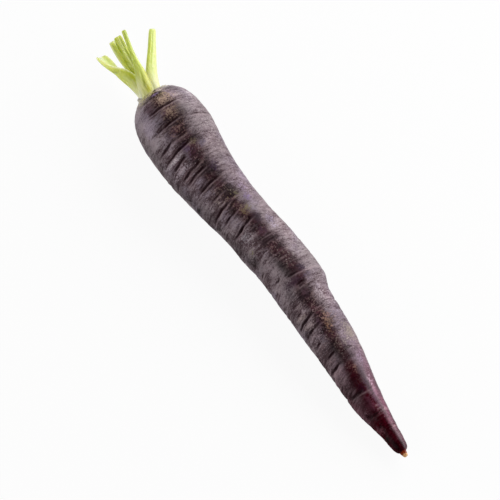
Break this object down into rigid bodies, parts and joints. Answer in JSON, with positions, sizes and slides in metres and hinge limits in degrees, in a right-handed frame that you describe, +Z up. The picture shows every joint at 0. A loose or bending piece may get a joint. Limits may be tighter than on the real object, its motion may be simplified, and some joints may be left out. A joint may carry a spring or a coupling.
{
  "type": "black carrot",
  "caption": "Long black carrot lying on its side: a round-shouldered, gently bent root that tapers to a snapped tip, with short trimmed leaf stalks.",
  "frame": {"origin": "centre of the bounding box in plan, on the surface that the carrot lies on", "axes": "+X runs along the root from the leaf stalks to the tip, +Z is up from the surface it lies on"},
  "size_m": [0.2514, 0.0394, 0.0353],
  "materials": {
    "root_skin": "satin",
    "stalk_green": "satin",
    "dried_scale": "matte"
  },
  "bodies": {
    "root": {"taproot": "root_skin", "leaf_stalk_front": "stalk_green", "leaf_stalk_left": "stalk_green", "leaf_stalk_inner_left": "stalk_green", "leaf_stalk_inner_right": "stalk_green", "leaf_stalk_right": "stalk_green", "dried_leaf_scale": "dried_scale"}
  },
  "joints": []
}
